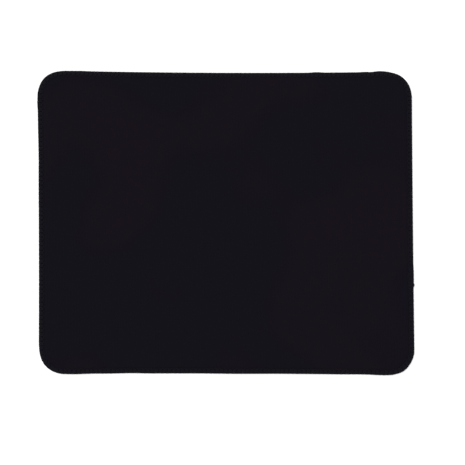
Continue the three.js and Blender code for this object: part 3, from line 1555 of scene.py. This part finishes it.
    def _stud_points(self, margin: float) -> np.ndarray:
        """Lay out the embossed underside: rhombic studs with grooves between them.

        Args:
            margin: Least distance of a point from the outline.

        Returns:
            The points of the studs' corners and of the grooves.
        """
        reach = self.outline.half_size
        most = int(reach[0] / self.stud_length + reach[1] / self.stud_width) + 1
        steps = (0.0, self.groove_share, 1 - self.groove_share)
        line = np.array([turn + step for turn in range(-most, most) for step in steps])
        in_groove = np.tile([True, False, False], 2 * most)
        u, v = np.meshgrid(line, line)
        deep = in_groove[None, :] | in_groove[:, None]
        plan = np.stack([(u + v) * self.stud_length / 2, (u - v) * self.stud_width / 2], -1)
        plan, deep = plan.reshape(-1, 2), deep.ravel()
        kept = (np.abs(plan) < reach).all(1)
        plan, deep = plan[kept], deep[kept]
        inset = self.outline.inset_of(plan)
        kept = inset > margin
        plan, deep, inset = plan[kept], deep[kept], inset[kept]
        height = self.section.level(0.0, inset, soft=True) + self.groove_depth * deep
        return np.column_stack([plan, height])

    def rubber_shape(self) -> Shape:
        """Make the rubber sheet, with its embossed underside.

        Returns:
            The rubber's whole surface.
        """
        section = self.section
        flat_inset = section.needle_inset + section.pucker_width
        face = (flat_inset, section.needle_inset, section.cut_inset)
        base = (section.cut_inset, *self.base_rings)
        rings = [self._ring(inset, section.rubber_top, soft=False) for inset in face]
        rings += [self._ring(inset, 0.0, soft=True) for inset in base]
        top = self._lid(self.hidden_step, flat_inset, section.rubber_top)
        studs = self._stud_points(base[-1] + self.stud_margin)
        return closed_plate(np.array(rings), top, studs)

    def build(self, film: bpy.types.Object) -> list[bpy.types.Object]:
        """Build and dress the rubber and the cloth, and dress the film.

        Args:
            film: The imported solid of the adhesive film.

        Returns:
            The rubber sheet and the cloth.
        """
        rubber = self.rubber_shape().to_object("foam_rubber_sheet")
        rubber.data.set_sharp_from_angle(angle=math.radians(self.sharp_degrees))
        rubber.data.materials.append(FoamedRubber().material())
        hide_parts("rubber_base")
        cloth = self.cloth_shape().to_object("knitted_cloth")
        cloth.data.materials.append(KnittedPolyester().material())
        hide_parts("top_cloth")
        film.material_slots[0].material = HotMeltFilm().material()
        return [rubber, cloth]


@dataclass(frozen=True)
class Studio:
    """A white sweep under soft, even light, and the camera straight above.

    Attributes:
        lens: Focal length, in millimetres.
        sensor: Width of the camera's sensor, in millimetres.
        frame_pixels: Side of the photograph.
        pad_pixels: Width of the pad in the photograph, between its sides.
        pad_width: The same width of the real pad.
        middle_pixel: Where the middle of the pad lies in the photograph.
        roll_degrees: How far the camera is turned.
        floor_side: Side of the floor, in metres.
        floor_colour: Colour of the sweep.
        floor_glow: Strength of plain white that is added to the sweep where a camera sees it.
        sky_strength: Strength of the light from all round.
        key_watts: Power of the large soft lamp.
        key_place: Where it hangs, in metres, high enough to light the whole sweep alike.
        key_side: Its side, in metres.
    """

    lens: float = 120.0
    sensor: float = 36.0
    frame_pixels: float = 465.0
    pad_pixels: float = 374.59
    pad_width: float = 260.0
    middle_pixel: tuple[float, float] = (225.93, 222.9)
    roll_degrees: float = 0.2
    floor_side: float = 12.0
    floor_colour: str = "#f2f2f2"
    floor_glow: float = 0.42
    sky_strength: float = 0.5
    key_watts: float = 1770.0
    key_place: tuple[float, float, float] = (-5.0, 4.5, 17.0)
    key_side: float = 9.0

    def _seen(self, tree: bpy.types.NodeTree) -> bpy.types.NodeSocket:
        """Tell a ray that shows the sweep, from the camera, gloss or glass, from one that lights.

        Args:
            tree: Node tree that gets the nodes.

        Returns:
            A socket that is 1 for such a ray, and else 0.
        """
        path = add_node(tree, "ShaderNodeLightPath").outputs
        gloss = add_node(
            tree,
            "ShaderNodeMath",
            {0: path["Is Camera Ray"], 1: path["Is Glossy Ray"]},
            operation="ADD",
        )
        glass = add_node(
            tree,
            "ShaderNodeMath",
            {0: gloss.outputs[0], 1: path["Is Transmission Ray"]},
            operation="ADD",
            use_clamp=True,
        )
        return glass.outputs[0]

    def build_floor(self) -> bpy.types.Object:
        """Lay the white sweep.

        Returns:
            The floor.
        """
        half = self.floor_side / 2
        mesh = bpy.data.meshes.new("sweep")
        corners = [(-half, -half, 0), (half, -half, 0), (half, half, 0), (-half, half, 0)]
        mesh.from_pydata(corners, [], [[0, 1, 2, 3]])
        floor = new_object("sweep", mesh)
        made, tree, shader = new_material("matte_white_paper")
        shader.inputs["Base Color"].default_value = linear(self.floor_colour)
        shader.inputs["Roughness"].default_value = 1.0
        shader.inputs["Specular IOR Level"].default_value = 0.0
        strength = add_node(
            tree, "ShaderNodeMath", {0: self._seen(tree), 1: self.floor_glow}, operation="MULTIPLY"
        )
        glow = add_node(tree, "ShaderNodeEmission", {"Strength": strength.outputs[0]})
        both = add_node(tree, "ShaderNodeAddShader", {0: shader.outputs[0], 1: glow.outputs[0]})
        tree.links.new(both.outputs[0], tree.nodes["Material Output"].inputs["Surface"])
        mesh.materials.append(made)
        return floor

    def build_light(self) -> None:
        """Light the pad from all round and from one large soft lamp."""
        world = bpy.data.worlds.new("studio")
        bpy.context.scene.world = world
        world.use_nodes = True
        tree = world.node_tree
        sky = tree.nodes["Background"]
        sky.inputs["Color"].default_value = (1, 1, 1, 1)
        strength = add_node(
            tree,
            "ShaderNodeMapRange",
            {"Value": self._seen(tree), "To Min": self.sky_strength, "To Max": 1.0},
        )
        tree.links.new(strength.outputs[0], sky.inputs["Strength"])
        lamp = bpy.data.lights.new("key", "AREA")
        lamp.size = self.key_side
        lamp.energy = self.key_watts
        key = new_object("key", lamp)
        key.location = self.key_place
        key.rotation_euler = (-Vector(self.key_place)).to_track_quat("-Z", "Y").to_euler()

    def build_camera(self) -> None:
        """Hang the camera where the photograph was taken."""
        scale = self.pad_pixels / self.pad_width
        data = bpy.data.cameras.new("overhead")
        data.lens = self.lens
        data.sensor_width = self.sensor
        camera = new_object("overhead", data)
        right, down = (self.frame_pixels / 2 - pixel for pixel in self.middle_pixel)
        rise = self.lens / self.sensor * self.frame_pixels / scale
        camera.location = (right / scale * MM, -down / scale * MM, rise * MM)
        camera.rotation_euler = (0.0, 0.0, math.radians(self.roll_degrees))
        bpy.context.scene.camera = camera
        bpy.context.scene.view_settings.view_transform = "Standard"


def main() -> None:
    """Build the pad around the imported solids, with its light and camera."""
    logging.basicConfig(level=logging.INFO, format="%(name)s: %(message)s")
    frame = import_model()
    studio = Studio()
    studio.build_camera()
    outline = PadOutline()
    section = PadSection.from_frame(outline.needle_inset)
    seam = OverlockSeam(outline, section)
    pieces = BondedSheets(outline, section, seam).build(frame["nodes"]["bonding_film"])
    pieces += seam.build()
    for piece in pieces:
        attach(piece, BODY)
        LOG.info("%s: %d faces", piece.name, len(piece.data.polygons))
    studio.build_floor()
    studio.build_light()
    bpy.context.view_layer.update()
    LOG.info("%d stitches of %.3f mm", seam.stitch_count, seam.pitch)


if __name__ == "__main__":
    main()
